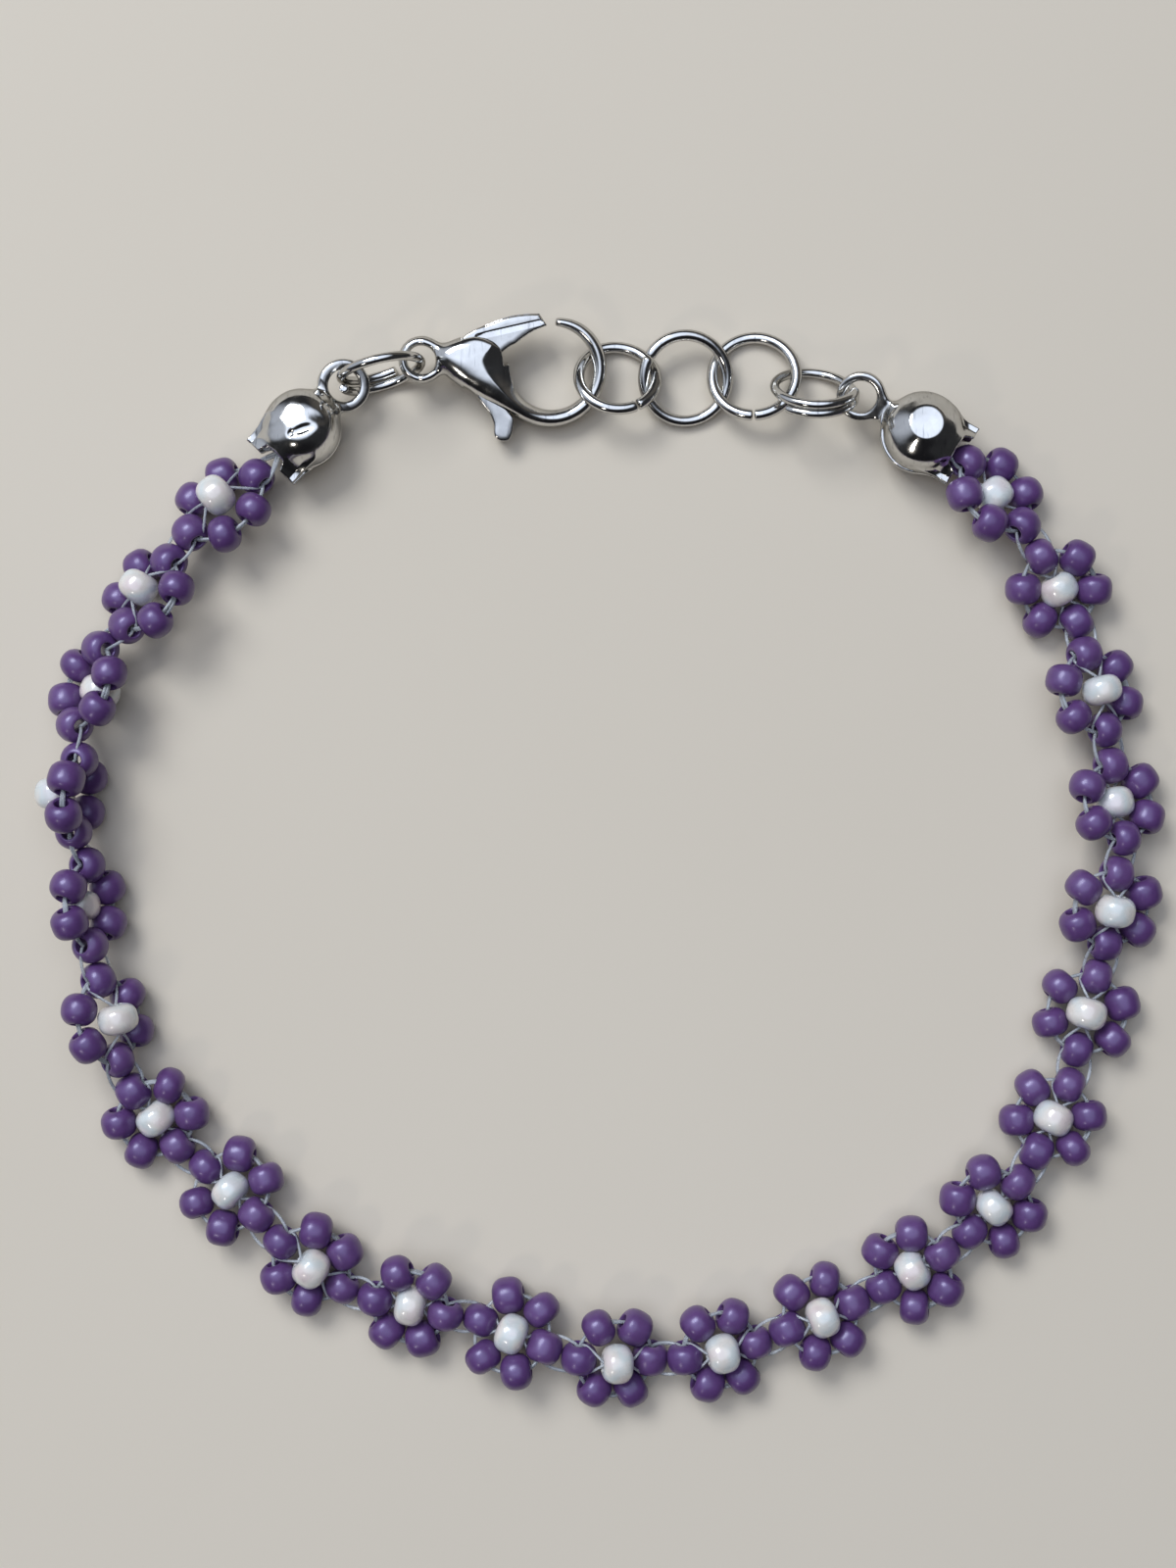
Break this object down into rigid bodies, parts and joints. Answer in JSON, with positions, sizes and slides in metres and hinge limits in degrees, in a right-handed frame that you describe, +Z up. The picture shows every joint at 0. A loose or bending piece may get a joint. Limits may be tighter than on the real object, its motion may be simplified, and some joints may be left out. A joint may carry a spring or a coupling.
{
  "type": "beaded bracelet",
  "caption": "Daisy-chain seed-bead bracelet lying closed, with clamshell bead tips, split rings, jump rings and a lobster clasp whose gate opens.",
  "frame": {"origin": "middle of the bounding box, on the surface that the bracelet lies on", "axes": "+Z up from the surface, +Y from the beadwork's middle towards the clasp, +X to the right of it seen from above"},
  "size_m": [0.0652, 0.0634, 0.0057],
  "materials": {
    "petal_glass": "opaque satin mauve-purple glass",
    "pearl_glass": "opaque white pearl lustre",
    "silver_plate": "bright silver plate"
  },
  "bodies": {
    "bracelet": {"petals_01": "petal_glass", "petals_02": "petal_glass", "petals_03": "petal_glass", "petals_04": "petal_glass", "petals_05": "petal_glass", "petals_06": "petal_glass", "petals_07": "petal_glass", "petals_08": "petal_glass", "petals_09": "petal_glass", "petals_10": "petal_glass", "petals_11": "petal_glass", "petals_12": "petal_glass", "petals_13": "petal_glass", "petals_14": "petal_glass", "petals_15": "petal_glass", "petals_16": "petal_glass", "petals_17": "petal_glass", "petals_18": "petal_glass", "petals_19": "petal_glass", "petals_20": "petal_glass", "petals_21": "petal_glass", "petals_22": "petal_glass", "petals_23": "petal_glass", "pearl_01": "pearl_glass", "pearl_02": "pearl_glass", "pearl_03": "pearl_glass", "pearl_04": "pearl_glass", "pearl_05": "pearl_glass", "pearl_06": "pearl_glass", "pearl_07": "pearl_glass", "pearl_08": "pearl_glass", "pearl_09": "pearl_glass", "pearl_10": "pearl_glass", "pearl_11": "pearl_glass", "pearl_12": "pearl_glass", "pearl_13": "pearl_glass", "pearl_14": "pearl_glass", "pearl_15": "pearl_glass", "pearl_16": "pearl_glass", "pearl_17": "pearl_glass", "pearl_18": "pearl_glass", "pearl_19": "pearl_glass", "pearl_20": "pearl_glass", "pearl_21": "pearl_glass", "pearl_22": "pearl_glass", "pearl_23": "pearl_glass", "clam_tip_left": "silver_plate", "clam_tip_right": "silver_plate", "split_ring_left": "silver_plate", "split_ring_right": "silver_plate", "extender_ring_1": "silver_plate", "extender_ring_2": "silver_plate", "extender_ring_3": "silver_plate", "clasp_body": "silver_plate"},
    "lever": {"clasp_lever": "silver_plate"}
  },
  "joints": [
    {"name": "clasp_lever", "type": "hinge", "parent": "bracelet", "child": "lever", "pos_m": [-0.00709, 0.0286, 0.00183], "axis": [-0.0595, 0.2233, -0.9729], "range_deg": [0, 22], "stiffness_Nm_per_rad": 0.002, "springref_deg": -11.46}
  ]
}
